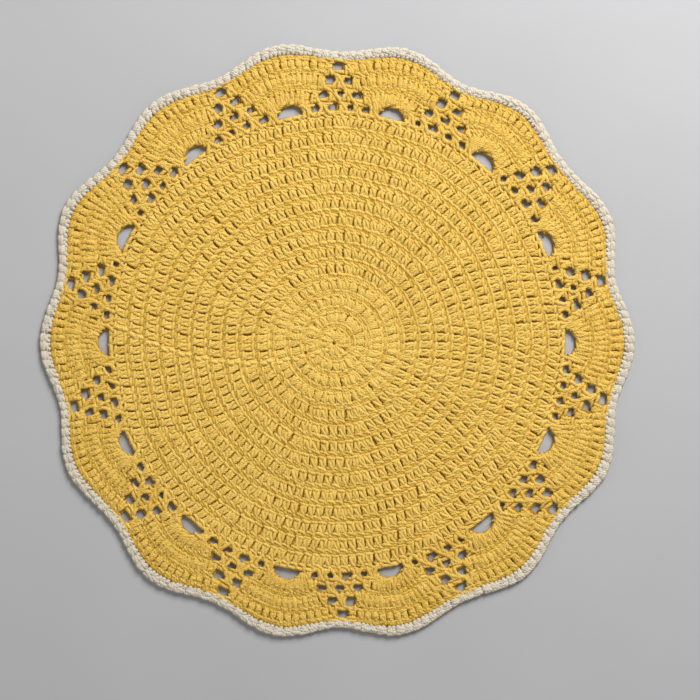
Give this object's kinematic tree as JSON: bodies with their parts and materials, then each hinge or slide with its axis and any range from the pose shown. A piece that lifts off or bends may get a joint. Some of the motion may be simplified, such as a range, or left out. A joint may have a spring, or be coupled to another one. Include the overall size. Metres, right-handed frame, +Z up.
{
  "type": "crochet placemat",
  "caption": "Round flat crochet placemat of yellow cotton, a double crochet disc with a border of fans and open filet mesh, and a cream edging round its scalloped rim.",
  "frame": {"origin": "underside of the mat, below its starting ring", "axes": "+Z up through the mat's right side, +X and +Y in its plane, with +Y towards the top of the picture"},
  "size_m": [0.3953, 0.3933, 0.0041],
  "materials": {
    "yellow_cotton": "matte plied cotton yarn, golden yellow",
    "cream_cotton": "matte plied cotton yarn, cream"
  },
  "bodies": {
    "root": {"body": "yellow_cotton", "edging": "cream_cotton"}
  },
  "joints": []
}
